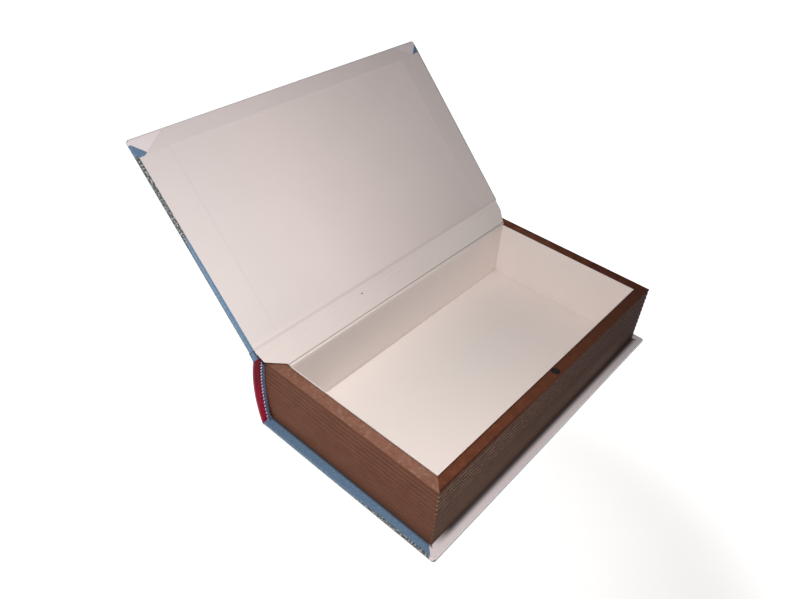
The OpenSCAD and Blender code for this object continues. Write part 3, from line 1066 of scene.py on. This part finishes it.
weave = finish_of("headband_weave_finish", {"Sheen Weight": 0.2}, draw_weave)
winding = geometry_tree("wind_headband", "Line", (*cord, "Outward"), "Weave", "Headband", wind)
for name, side in (("headband_tail", -1), ("headband_head", 1)):
    band = new_piece(name + "_wound", band_line(side), weave)
    run_tree(band, winding, {**cord, "Outward": float(side), "Weave": weave}, 60)
    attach(band, "tray")
    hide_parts(name)


# The endpaper is one sheet of white paper. It is stuck over the top of the spine block, across the joint
# and over the inside of the lid, where it covers the turned-in paper but leaves a narrow margin and two
# cut corners. The turn-ins show through it. Painted shade darkens its creases at the glue line and at the
# board's edge, and the lid's paper near the tail. Painted light makes the flange paler toward the head,
# and a painted highlight lies on it between the glue line and the block's edge.
endpaper_t = 0.15 * mm
lid_inner = cover_t + endpaper_t / 2
step_depth = 0.15 * mm
step_w = 2.1 * mm
bulge = 0.05 * mm
bulge_size = 26 * mm
fore_margin = 1.3 * mm
mean_margin = 2 * mm
end_margins = ((2.9 * mm, 2.0 * mm), (1.4 * mm, 1.6 * mm))
flange_cuts = (((-74.4 * mm, -65.9 * mm), (132.4 * mm, 119.94 * mm)),
               ((-74.6 * mm, -63.4 * mm), (131.4 * mm, 121.4 * mm)))
lid_cuts = {-1: ((73.75, -113.0), (63.1, -129.7), (62.6, -136.5)),
            1: ((73.75, 113.0), (64.8, 127.1), (65.7, 136.5))}
cuts_from = 100 * mm
glued_x = -65.2 * mm
fold = Vector((-77.4, 0, 60.5)) * mm
dot_out = 6.6 * mm
dot_y = -38.6 * mm


def lid_level(x, y):
    """Height of the endpaper's middle over the inside-up lid: lower inside the turn-ins."""
    inside = min(board_x1 - turn_in_fore - x, board_half - turn_in_end - abs(y))
    t = min(1, max(0, inside / step_w + 0.5))
    wave = bulge * noise.noise(Vector((x, y, 0)) / bulge_size)
    return step_depth * t * t * (3 - 2 * t) - wave * min(1, (board_x1 - x) / (15 * mm))


def spread(low, high, step, close=()):
    """Places from low to high, step apart, with more of them on both sides of the given ones."""
    count = round((high - low) / step)
    places = {low, high} | {low + (high - low) * i / count for i in range(1, count)}
    for at in close:
        places |= {at + step_w * i / 6 for i in range(-5, 6) if low < at + step_w * i / 6 < high}
    return sorted(places)


def across_sheet(tail_end, head_end):
    """Places over the sheet's width, from its tail end to its head end."""
    return [share * (tail_end if share < 0 else head_end) for share in end_shares]


crease = on_lid((board_x0 + 0.1 * mm, 0, lid_inner))
flange_z = tray_z1 + endpaper_t / 2
flange_path = curve_through(
    beside(block_x1, flange_z, (0.02, -0.35), (-0.1, 0.05), (-0.5, 0.18))
    + beside(glued_x, flange_z, (0.35, 0.14), (0, 0), (-0.25, 0.3), (-1.2, 0.85))
    + beside(fold.x, fold.z, (5, -2.8), (0.4, -0.28), (0, -0.25), (-0.6, 0.35), (-2.6, 1.15))
    + beside(crease.x, crease.z, (1.3, -1.45), (0, 0)), 0.3 * mm)
flange_reach = along(flange_path)
flange_start = board_x0 - flange_reach[-1]
glued_at = min((abs(x - glued_x), flange_start + reach)
               for (x, z), reach in zip(flange_path, flange_reach))[1]
turn_in_share = (board_half - turn_in_end) / (board_half - mean_margin)
close_shares = {side * turn_in_share + i * step_w / (6 * board_half)
                for side in (-1, 1) for i in range(-14, 15)}
end_shares = sorted(close_shares.union(spread(-1, 1, 1 / 50)))
rows, places = [], []
for (x, z), reach in zip(flange_path, flange_reach):
    ys = across_sheet(*(interp(x, (crease.x, *cut_xs), (board_half - margins[0], *cut_ys))
                        for (cut_xs, cut_ys), margins in zip(flange_cuts, end_margins)))
    rows.append([(x, y, z) for y in ys])
    places.append([(flange_start + reach, y) for y in ys])
for x in spread(board_x0 + 0.1 * mm, board_x1 - fore_margin, 2.8 * mm, [board_x1 - turn_in_fore])[1:]:
    share_x = (x - board_x0) / (board_x1 - board_x0)
    ys = across_sheet(*(board_half - near + (near - far) * share_x for near, far in end_margins))
    rows.append([on_lid((x, y, lid_inner - lid_level(x, y))) for y in ys])
    places.append([(x, y) for y in ys])


def draw_endpaper(place):
    sheet = place.node("ShaderNodeUVMap", {"uv_map": "sheet"})
    u, v = split(sheet)[:2]
    fibre = mottle(place, 0.5, 4.0)
    paper = tint(mottle(place, 30, 3.0), (233, 221, 218), (228, 216, 213))
    # Painted shade: the lid's paper darkens near the tail end.
    tail_end_shade = fade_mm(v, -40, -110) * fade(u, board_x0, board_x0 + 6 * mm)
    paper = tint(tail_end_shade * 0.45, paper, (212, 206, 206))
    # Painted light: the flange is paler toward the head.
    flange_head_light = fade_mm(v, -10, 110) * fade(u, board_x0 + 2 * mm, board_x0 - 2 * mm)
    paper = tint(flange_head_light, paper, (249, 239, 235))
    over_fold = (fade_mm(board_x1 - turn_in_fore - u, 1, -0.6) * 0.42
                 | fade_mm(board_half - turn_in_end - v, 1, -0.6) * 0.25 * fade(u, board_x0, 0))
    paper = tint(over_fold, paper, (214, 204, 205))
    # Painted highlight on the flange between its glue line and the block's edge.
    paper = tint(fade_mm(u - glued_at, -0.4, -0.8), paper, (241, 230, 226))
    # Painted shade in the creases at the glue line and at the board's edge.
    crease_shade = fade_mm(abs(u - glued_at), 0.9, 0.25) * 0.5 | fade_mm(abs(u - board_x0), 1.9, 0.3) * 0.16
    paper = tint(crease_shade, paper, (120, 104, 98))
    dot = fade_mm(how_far(sheet, (board_x0 - dot_out, dot_y, 0)), 0.8, 0.5)
    return surface(tint(dot, paper, (78, 72, 72)), 0.55 + 0.15 * fibre, fibre, 0.015)


endpaper_finish = finish_of("endpaper_finish", {}, draw_endpaper)
endpaper = new_piece("endpaper_sheet", loft(rows, places=places), endpaper_finish)
form = bmesh.new()
form.from_mesh(endpaper.data)
for side, corners in lid_cuts.items():
    corners = [on_lid((x * mm, y * mm, lid_inner)) for x, y in corners]
    planes = []
    for here, there in zip(corners, corners[1:]):
        planes.append((here, (there - here).cross(open_turn.to_3x3() @ Vector((0, 0, 1))) * side))
        slice_form(form, *planes[-1])
    gone = [face for face in form.faces
            if face.calc_center_median().y * side > cuts_from
            and all((face.calc_center_median() - at).dot(across) > 0 for at, across in planes)]
    bmesh.ops.delete(form, geom=gone, context="FACES")
form.to_mesh(endpaper.data)
form.free()
thicken(endpaper, endpaper_t)
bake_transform(endpaper)
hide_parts("hinge_flange", "front_endpaper")

# What the finished model spans beside the solids that it dresses
low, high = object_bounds()
